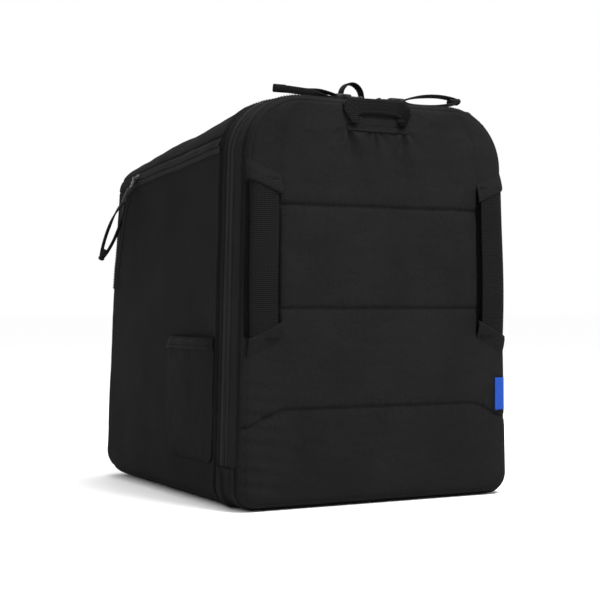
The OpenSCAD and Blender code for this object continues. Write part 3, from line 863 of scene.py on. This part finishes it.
def top_handle():
    outer = resample([(-34, -1), (-37, 4), (-42, 12.5), (-42, 21), (-35, 28), (0, 28.4), (35, 28), (42, 21),
                      (42, 12.5), (37, 4), (34, -1)], 161)
    inner = resample([(-25, -1), (-25.4, 3), (-25.6, 6), (-24, 8.6), (-20.5, 9.8), (0, 10.6), (20.5, 9.8),
                      (24, 8.6), (25.6, 6), (25.4, 3), (25, -1)], 161)

    def point(i, a):
        x, up = inner[i] * (1 - a) + outer[i] * a
        bulge = 1.1 * math.sin(math.pi * a) + 0.9 * math.exp(-(x / 26) ** 2)
        rough = 0.35 * math.sin(x * 0.9 + up) * math.exp(-((abs(x) - 34) / 9) ** 2)
        return handle_point(x / 1000, up / 1000, (1.0 + bulge + rough) / 1000)

    sewn("top_handle_band", surface(range(161), np.linspace(0, 1, 15), point), webbing_fabric, 0.0024, FRONT,
         "top_handle", "webbing", "top_handle")
    for up in (3.4, 5.2):
        for start in (-31, 22):
            line = [handle_point(x / 1000, up / 1000, 0.0024) for x in np.linspace(start, start + 9, 30)]
            stitches("handle_bartack", line, np.tile([0, -1, 0.2], (30, 1)), "top_handle", pitch=0.0014,
                     length=0.0019, radius=0.0005)
    for share in (0.14, 0.86):
        xs = inner[20:-20] * (1 - share) + outer[20:-20] * share
        line = [handle_point(x / 1000, up / 1000, 0.0026 + 0.0009 * math.exp(-(x / 26) ** 2)) for x, up in xs]
        stitches("handle_stitches", line, np.tile([0, -1, 0.2], (len(line), 1)), "top_handle")


def handle_patch():
    cols = 60
    grid = surface(np.linspace(0.4030, 0.4084, 14), np.linspace(-0.0385, 0.0385, cols),
                   lambda z, x: face_point(x + HANDLE_AT.x, z, 0.0013)[0])
    grid[..., 1] = np.minimum(blur(grid, 6)[..., 1], grid[..., 1])
    sewn("handle_patch", grid, panel_fabric, 0.0013, FRONT, "front_panel", "webbing", "top_handle_patch")
    for row in (2, 11):
        stitches("patch_stitches", grid[row] + (0, -0.0001, 0), np.tile(FRONT, (cols, 1)), "front_panel")


top_handle()
handle_patch()


def haul_loop():
    pivot = Vector(joints["haul_loop_fold"]["pos_m"])
    radius = 0.0133
    rise = 0.453 - pivot.z
    path = [(-radius, pivot.y, pivot.z - 0.008), (-radius - 0.0006, pivot.y, pivot.z),
            (-radius - 0.0004, pivot.y, pivot.z + rise * 0.6)]
    path += [(radius * math.cos(a), pivot.y + 0.0006 * math.sin(2 * a), pivot.z + rise + radius * math.sin(a))
             for a in np.radians(np.linspace(178, 2, 40))]
    path += [(radius + 0.0004, pivot.y, pivot.z + rise * 0.6), (radius + 0.0006, pivot.y, pivot.z),
             (radius, pivot.y, pivot.z - 0.008)]
    path = resample(path, 90)
    middle = np.array([0, pivot.y, pivot.z + 0.003])
    ups = path - middle
    ups[:, 1] = 0
    loop = sweep("haul_loop_webbing", path, ups, rounded_section(0.0125, 0.0023), webbing_fabric)
    put(loop, "haul_loop", "webbing", "haul_loop")
    base = sweep("haul_loop_base", [(x, pivot.y, shell_point((x, pivot.y, BODY_TOP))[0][2] + 0.0008)
                                    for x in np.linspace(-0.024, 0.024, 20)],
                 np.tile([0, 0, 1], (20, 1)), rounded_section(0.020, 0.0016), webbing_fabric)
    put(base, "bag_body", "webbing")


haul_loop()


# ---- woven tag
def side_tag():
    def point(z, x):
        at, _ = face_point(x, z, 0.0008)
        return at[0], min(at[1], crown_y(x, z)[0] - 0.0006), at[2]

    grid = surface(np.linspace(0.0965, 0.1330, 30), np.linspace(0.1485, 0.1618, 12), point)
    grid[..., 1] = blur(grid, 4)[..., 1] - 0.0004
    sewn("side_tag_woven", grid, tag_fabric, 0.0009, FRONT, "front_panel", "tag_fabric", "side_tag")


side_tag()


# ---- boot-compartment zips on the sides
TURN_Y, TURN_REACH, TURN_DROP = 0.106, 0.058, 0.135


def side_zip_path(side):
    """Straight along the seam, then down the side in a quarter of an ellipse, as in the photo."""
    line = [(side * (TOP_HALF + 0.005), y, seam_z(y)) for y in np.linspace(GUSSET_Y + 0.003, TURN_Y, 220)]
    line += [(side * (TOP_HALF + 0.012), TURN_Y + TURN_REACH * math.sin(a),
              seam_z(TURN_Y) - TURN_DROP * (1 - math.cos(a))) for a in np.radians(np.linspace(2, 90, 60))]
    found = [shell_point(p) for p in resample(line, 420)]
    points = np.array([p for p, _ in found])
    normals = np.array([n for _, n in found])
    for values in (points, normals):
        for _ in range(6):
            values[1:-1] = (values[:-2] + 2 * values[1:-1] + values[2:]) / 4
    return points, unit(normals)


for side, word in SIDES:
    points, normals = side_zip_path(side)
    across = np.cross(normals, unit(np.gradient(points, axis=0)))
    for level, share in (("low", -1), ("high", 1)):
        rows = [np.array([shell_point(p)[0] for p in points + across * a * share]) + normals * lift
                for a, lift in ((0.0085, -0.0004), (0.0078, 0.0010), (0.0045, 0.0011), (0.0016, 0.0008))]
        tape = sewn("side_zip_tape_%s_%s" % (level, word), np.array(rows), tape_fabric, 0.0007,
                    normals.sum(axis=0), "bag_body", "zip_tape", *(["side_zip_" + word] if share < 0 else []))
    centre = points + normals * 0.0012
    teeth_row("side_zip_teeth_low_" + word, centre, normals, 1, "bag_body", pitch=0.0021)
    teeth_row("side_zip_teeth_high_" + word, centre, normals, -1, "bag_body", pitch=0.0021, shift=0.5)
    for a, lift in ((-0.0105, 0.0003), (-0.0068, 0.0013), (0.0068, 0.0013), (0.0105, 0.0003)):
        row = np.array([shell_point(p)[0] for p in points + across * a])
        stitches("side_zip_stitches", row + normals * lift, normals, "bag_body")


# ---- stash pockets
def rounding(radius, height):
    """How far a rounded corner draws an edge in at a height above its foot."""
    return radius - math.sqrt(max(0, radius ** 2 - max(0, radius - height) ** 2))


def stash_pocket(side, word):
    low_y, high_y, low_z, high_z = -0.138, -0.012, 0.045, 0.179
    rows, cols = 90, 90
    grid = np.zeros((rows, cols, 3))
    normals = np.zeros((rows, cols, 3))
    for i, v in enumerate(np.linspace(0, 1, rows)):
        z = low_z + (high_z - low_z) * v
        rear = high_y - rounding(0.030, z - low_z) - max(0, (z - (high_z - 0.014))) * 0.8
        front = low_y + rounding(0.012, z - low_z)
        for j, u in enumerate(np.linspace(0, 1, cols)):
            at, normal = shell_point((side * 0.172, front + (rear - front) * u, z))
            edge = min(u, 1 - u) * (high_y - low_y)
            full = (1 - math.exp(-edge / 0.016)) * (1 - math.exp(-(z - low_z) / 0.03))
            grid[i, j] = at + normal * (0.0036 * full * (0.55 + 0.45 * v) + 0.0014)
            normals[i, j] = normal
    fold = cloth_noise(grid.reshape(-1, 3), 32.0, 8.8, (1, 1.2, 0.8)).reshape(rows, cols, 1)
    grid += normals * fold * 0.0008
    pocket = sewn("stash_pocket_%s_cloth" % word, grid, shell_fabric, 0.0012, (side, 0, 0), "bag_body",
                  "body_fabric", "stash_pocket_" + word)
    top = grid[-1] + normals[-1] * 0.0003
    band = [grid[row] + normals[row] * lift for row, lift in ((-9, 0.0011), (-5, 0.0014), (-2, 0.0011))]
    band += [top + (0, 0, 0.0010), top + (0, 0, 0.0006) - normals[-1] * 0.002]
    sewn("pocket_binding_" + word, np.array(band), webbing_fabric, 0.0008, (side, 0, 0), "bag_body",
         "body_fabric")
    stitches("pocket_band_stitches", grid[-7] + normals[-7] * 0.0016, normals[-7], "bag_body")
    line, up = (np.concatenate([values[::-1, 2], values[2, 3:-3], values[:, -3]]) for values in (grid, normals))
    stitches("pocket_edge_stitches", line + up * 0.0002, up, "bag_body")


for side, word in SIDES:
    stash_pocket(side, word)


# ---- pulls
def frame_of(*steps):
    """Product of moves and turns, as OpenSCAD applies them."""
    out = Matrix.Identity(4)
    for kind, value in steps:
        if kind == "move":
            out = out @ Matrix.Translation(value)
        else:
            rx, ry, rz = (math.radians(v) for v in value)
            out = out @ Matrix.Rotation(rz, 4, "Z") @ Matrix.Rotation(ry, 4, "Y") @ Matrix.Rotation(rx, 4, "X")
    return out


TAB, GRIP, PULL = 0.013, 0.019, 0.108


def pull(word, kind, place, twist, spread, rise):
    """Grip, webbing loop and stitched tip of a pull that lies along +X from its pin before it is placed."""
    body = "%s_pull_%s" % (kind, word)
    work = bmesh.new()
    bmesh.ops.create_cube(work, size=1.0)
    bmesh.ops.scale(work, vec=(GRIP, 0.009, 0.006), verts=work.verts)
    bmesh.ops.subdivide_edges(work, edges=work.edges[:], cuts=8, use_grid_fill=True)
    for v in work.verts:
        u = v.co.x / (GRIP / 2)
        waist = 1 - 0.16 * math.exp(-(u / 0.45) ** 2) - 0.10 * abs(u) ** 6
        ribs = 0.00022 * math.cos(v.co.x * 2 * math.pi / 0.0029) if abs(u) < 0.8 else 0
        side_z = v.co.z / 0.003
        round_off = 1 - 0.14 * (v.co.y / 0.0045 * side_z) ** 2
        v.co.y *= waist * round_off
        v.co.z = (v.co.z * round_off * (1 - 0.12 * abs(u) ** 8)
                  + math.copysign(ribs, v.co.z) * (abs(side_z) > 0.9))
        v.co.x += TAB + GRIP / 2 + 0.0003
    mesh = bpy.data.meshes.new("grip")
    work.to_mesh(mesh)
    work.free()
    mesh.materials.append(grip_rubber)
    for poly in mesh.polygons:
        poly.use_smooth = True
    grip = link("%s_grip_%s" % (kind, word), mesh)
    mesh.transform(place)
    modifier(grip, "smooth", "SUBSURF", levels=1, render_levels=1)
    put(grip, body, "grip_rubber", "%s_pull_grip_%s" % (kind, word))

    flat_start, end = TAB + GRIP + 0.001, PULL - 0.0032
    xs = np.linspace(TAB + 0.006, end, 70)
    bend = np.radians(np.linspace(80, -80, 14))
    open_by = spread * np.sin(np.pi * np.clip((xs - flat_start) / (end - flat_start), 0, 1)).clip(0) ** 0.7 + 0.0009
    path = [(x, 0, z) for x, z in zip(xs, open_by)]
    path += [(end + 0.0026 * math.cos(a), 0, 0.0022 * math.sin(a)) for a in bend]
    path += [(x, 0, -z) for x, z in zip(xs[::-1], open_by[::-1])]
    path = np.array(path)
    ups = [(0, 0, 1)] * 70 + [(math.cos(a), 0, math.sin(a)) for a in bend] + [(0, 0, -1)] * 70
    turn = twist * smoothstep(flat_start, flat_start + 0.035, path[:, 0])
    sag = rise * smoothstep(flat_start - 0.01, end, path[:, 0])
    spin = [Matrix.Rotation(float(a), 3, "X") for a in turn]
    turn_only = place.to_3x3()
    path = [place @ (m @ Vector(p) + Vector((0, 0, float(s)))) for m, p, s in zip(spin, path, sag)]
    ups = [turn_only @ (m @ Vector(u)) for m, u in zip(spin, ups)]
    loop = sweep("%s_loop_%s" % (kind, word), path, ups, rounded_section(0.0084, 0.0021), pull_fabric)
    put(loop, body, "pull_webbing", "%s_pull_loop_%s" % (kind, word))
    last = Matrix.Rotation(float(twist), 3, "X")
    tip = [place @ (last @ Vector((end - 0.011 + 0.0135 * t, 0, 0)) + Vector((0, 0, rise)))
           for t in np.linspace(0, 1, 12)]
    sleeve = sweep("%s_tip_%s" % (kind, word), tip, [turn_only @ (last @ Vector((0, 0, 1)))] * 12,
                   rounded_section(0.0096, 0.0056), pull_fabric)
    put(sleeve, body, "pull_webbing")


def side_place(side):
    pin = Vector(joints["side_pull_left_swing"]["pos_m"])
    place = frame_of(("move", pin), ("turn", (-4.1, 0, 0)), ("turn", (90, 0, -90)), ("turn", (-22, 0, 0)),
                     ("turn", (0, 0, -90)), ("move", (TAB - 0.003, 0, 0)), ("turn", (0, 0, -15)),
                     ("move", (0.004 - TAB, 0, 0)))
    if side > 0:
        place = Matrix.Diagonal((-1, 1, 1, 1)) @ place
    return place


main_left = frame_of(("move", Vector(joints["main_pull_left_swing"]["pos_m"])), ("turn", (0, 0, 180)))
main_right = frame_of(("move", Vector(joints["main_pull_right_swing"]["pos_m"])))
pull("left", "main", main_left, math.radians(78), 0.0034, 0.0035)
pull("right", "main", main_right, math.radians(-16), 0.0056, 0.0045)
pull("left", "side", side_place(-1), math.radians(34), 0.0052, -0.003)
pull("right", "side", side_place(1), math.radians(-34), 0.0052, -0.003)


# ---- zip end tabs, pleats and hinge flap
PLEAT_FROM = 0.128
for side, word in SIDES:
    # The photo shows the fold at the right end; the left one is a guess and stands out less
    bulge = 0.0095 if side > 0 else 0.0045
    path = [(side * (0.1680 + bulge * math.sin(math.pi * t)), ZIP_Y + 0.0055, 0.0395 + 0.0085 * t)
            for t in np.linspace(0, 1, 20)]
    tab = sweep("zip_end_fold_" + word, path, np.tile([side, 0, 0], (20, 1)), rounded_section(0.0068, 0.0014),
                webbing_fabric)
    put(tab, "bag_body", "webbing", "zip_end_tab_" + word)
    rows, cols = 40, 31
    t = np.linspace(0, 1, rows)
    grid = np.zeros((rows, cols, 3))
    for j, a in enumerate(np.linspace(0, 1, cols)):
        y = (EDGE_Y + 0.0015) * (1 - a) + (GUSSET_FRONT + 0.0015) * a
        half = outline_at(y)
        run = sample(half, np.linspace(PLEAT_FROM, where_z(half, ZIP_END + 0.0004), rows))
        lift_dir = interpolate(outward(mirrored(half))[:len(half)], along(half),
                               np.linspace(PLEAT_FROM, where_z(half, ZIP_END), rows))
        crease = 0.0017 * ridge(a - 0.42 - 0.34 * t, 0.06) + 0.0012 * ridge(a - 0.50 + 0.30 * t, 0.05)
        run = run + lift_dir * (0.0017 - crease + 0.0007 * smoothstep(0.9, 1.0, t))[:, None]
        grid[:, j] = np.stack([-side * run[:, 0], np.full(rows, y), np.maximum(run[:, 1], 0.0006)], axis=1)
    pleat = grid_object("pleat_%s_cloth" % word, grid, shell_fabric)
    face_towards(pleat, (side, 0, 0))
    solidify(pleat, 0.0010)
    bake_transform(pleat)
    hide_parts("pleat_" + word)

HINGE_FRONT, HINGE_HALF = -0.1915, 0.141
grid = surface(np.linspace(HINGE_FRONT, ZIP_Y + 0.001, 24), np.linspace(-HINGE_HALF, HINGE_HALF, 60),
               lambda y, x: (x, y, 0.0011 + 0.0003 * math.sin(x * 190) * math.sin((y - HINGE_FRONT) * 100)))
hinge = grid_object("hinge_flap_cloth", grid, shell_fabric, flip=True)
solidify(hinge, 0.0010, 0.0)
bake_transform(hinge)
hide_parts("hinge_flap")


# ---- inside: lining and dividers
x, z = face_grid(90, 120)
ripple = cloth_noise(np.stack([x, 0 * x, z], 2).reshape(-1, 3), 14.0, 6.6).reshape(x.shape)
depth = EDGE_Y + 0.0016 - 0.0008 * ripple * smoothstep(0, 0.03, edge_distance(x, z))
inner = np.stack([x * 0.982, depth, PANEL_BOTTOM + 0.003 + (z - PANEL_BOTTOM) * 0.985], axis=2)
lining = grid_object("panel_lining_cloth", inner, lining_fabric, flip=True)
solidify(lining, 0.0012, 0.0)
put(lining, "front_panel", "lining_fabric", "front_panel_lining")
DIVIDER_X = 0.04975
for side, word in SIDES:
    low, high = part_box("boot_divider_" + word)

    def divider_point(v, u):
        y = low[1] + (high[1] - 0.001 - low[1]) * u
        top = min(high[2], body_half(y)[-1, 1] - 0.012 - 0.009 * math.sin(math.pi * u))
        z = low[2] + (top - low[2]) * v
        return side * DIVIDER_X + 0.0016 * math.sin(y * 38 + z * 9) * math.sin(math.pi * v), y, z

    grid = surface(np.linspace(0, 1, 50), np.linspace(0, 1, 50), divider_point)
    sheet = grid_object("divider_%s_cloth" % word, grid, lining_fabric)
    solidify(sheet, 0.0022, 0.0)
    put(sheet, "bag_body", "lining_fabric", "boot_divider_" + word)


# ---- harness on the rear
PAD_CORNER = 0.022


def back_pad():
    low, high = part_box("back_pad")
    mid_z, half_z, half_x = (low[2] + high[2]) / 2, (high[2] - low[2]) / 2, high[0]

    def point(v, u):
        corner = max(0.0, abs(v) * half_z - (half_z - PAD_CORNER))
        width = half_x - (PAD_CORNER - math.sqrt(max(0, PAD_CORNER ** 2 - corner ** 2)))
        x, z = u * width, mid_z + v * half_z
        edge = min(width - abs(x), half_z - abs(z - mid_z))
        return x, REAR_Y + 0.0012 + 0.0085 * (1 - math.exp(-edge / 0.008)), z

    grid = surface(np.linspace(-1, 1, 150), np.linspace(-1, 1, 120), point)
    channel = ridge(np.abs(grid[..., 0]) - 0.030, 0.0035) + ridge(np.abs(grid[..., 2] - mid_z), 0.0035)
    grid[..., 1] -= 0.0042 * np.minimum(1, channel) * smoothstep(0.0, 0.02, half_x - np.abs(grid[..., 0]))
    grid[..., 1] += 0.0007 * cloth_noise(grid.reshape(-1, 3), 34.0, 2.2).reshape(grid.shape[:2])
    pad = sewn("back_pad_mesh", grid, mesh_fabric, 0.0015, (0, 1, 0), "bag_body", "pad_mesh", "back_pad")


back_pad()
STRAP_X = 0.062
ARC_Y, ARC_Z, ARC_R = -0.1075, 0.247, 0.3375
for side, word in SIDES:
    x = side * STRAP_X
    path = [(x, ARC_Y + ARC_R * math.cos(a), ARC_Z + ARC_R * math.sin(a))
            for a in np.radians(np.linspace(-21.4, 21.4, 90))]
    path += [(x, REAR_Y + 0.007, 0.3745), (x, REAR_Y + 0.0015, 0.3765)]
    path = resample(path, 110)
    ups = np.array([(0, p[1] - ARC_Y, p[2] - ARC_Z) for p in path])
    strap = sweep("strap_pad_" + word, path, ups, rounded_section(0.054, 0.0085, 6), mesh_fabric)
    put(strap, "bag_body", "body_fabric", "shoulder_strap_" + word)
    outer = path[6:80] + unit(ups[6:80]) * 0.0050
    stripe = sweep("strap_stripe_" + word, outer, ups[6:80], rounded_section(0.025, 0.0014), webbing_fabric)
    put(stripe, "bag_body", "webbing")
    lock_low, lock_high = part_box("ladder_lock_" + word)
    lower = resample([(x, (lock_low[1] + lock_high[1]) / 2 + 0.001, lock_low[2] + 0.008),
                      (x, lock_low[1] - 0.0008, lock_low[2] - 0.001),
                      (side * 0.085, REAR_Y + 0.0105, 0.086), (side * 0.131, REAR_Y + 0.0034, 0.048)], 60)
    web = sweep("strap_webbing_%s_band" % word, lower, np.tile([0, 1, 0.15], (60, 1)),
                rounded_section(0.024, 0.0016), webbing_fabric)
    put(web, "bag_body", "webbing", "strap_webbing_" + word)

    def anchor_point(a, b):
        top = 0.076 * (1 - a) + 0.030 * a
        puff = 0.0016 * min(1, 6 * min(b, 1 - b)) * min(1, 8 * min(a, 1 - a) + 0.15)
        return side * (0.152 * (1 - a) + 0.112 * a), REAR_Y + 0.0012 + puff, 0.028 + (top - 0.028) * b

    sewn("strap_anchor_%s_cloth" % word, surface(np.linspace(0, 1, 24), np.linspace(0, 1, 24), anchor_point),
         shell_fabric, 0.0012, (0, 1, 0), "bag_body", "body_fabric", "strap_anchor_" + word)


# ---- CAD parts that stay as they are
def dress(name, mat, width=0.0):
    obj = frame["nodes"][name]
    obj.data.materials.clear()
    obj.data.materials.append(mat)
    if width:
        modifier(obj, "bevel", "BEVEL", width=width, segments=2, limit_method="ANGLE")


dress("base_board", board_plastic)
for word in ("left", "right"):
    dress("ladder_lock_" + word, buckle_plastic, 0.0006)
    for kind in ("main", "side"):
        dress("%s_slider_%s" % (kind, word), slider_metal, 0.0003)
        dress("%s_pull_tab_%s" % (kind, word), slider_metal, 0.0003)


# ---- floor, world, light and camera
bpy.ops.mesh.primitive_plane_add(size=80, location=(0, 0, -0.0006))
floor = bpy.context.object
floor.name = "floor"
paper = Look("floor_paper", (0.985, 0.985, 0.985), 1.0)
paper.bump(paper.noise(paper.add("TexCoord").outputs["Object"], 300.0), 0.00005)
floor.data.materials.append(paper.mat)

world = bpy.data.worlds.new("studio")
bpy.context.scene.world = world
world.use_nodes = True
world.node_tree.nodes["Background"].inputs[0].default_value = (1, 1, 1, 1)
world.node_tree.nodes["Background"].inputs[1].default_value = 1.0
bpy.context.scene.view_settings.view_transform = "Standard"


def area_light(name, at, target, size, power):
    data = bpy.data.lights.new(name, "AREA")
    data.shape = "RECTANGLE"
    data.size, data.size_y = size
    data.energy = power
    lamp = link(name, data)
    lamp.location = at
    lamp.rotation_euler = (Vector(target) - Vector(at)).to_track_quat("-Z", "Y").to_euler()


area_light("key", (0.25, -0.82, 1.32), (0, -0.20, 0.44), (0.5, 0.5), 27)
area_light("top", (0.1, 0.3, 2.0), (0, 0, 0.4), (0.8, 0.8), 20)

camera_data = bpy.data.cameras.new("camera")
camera_data.lens = 81
camera_data.sensor_width = 36
camera = link("camera", camera_data)
camera.location = (-0.755, -1.464, 0.212)
camera.rotation_euler = Vector((0.460, 0.888, 0.006)).to_track_quat("-Z", "Y").to_euler()
bpy.context.scene.camera = camera
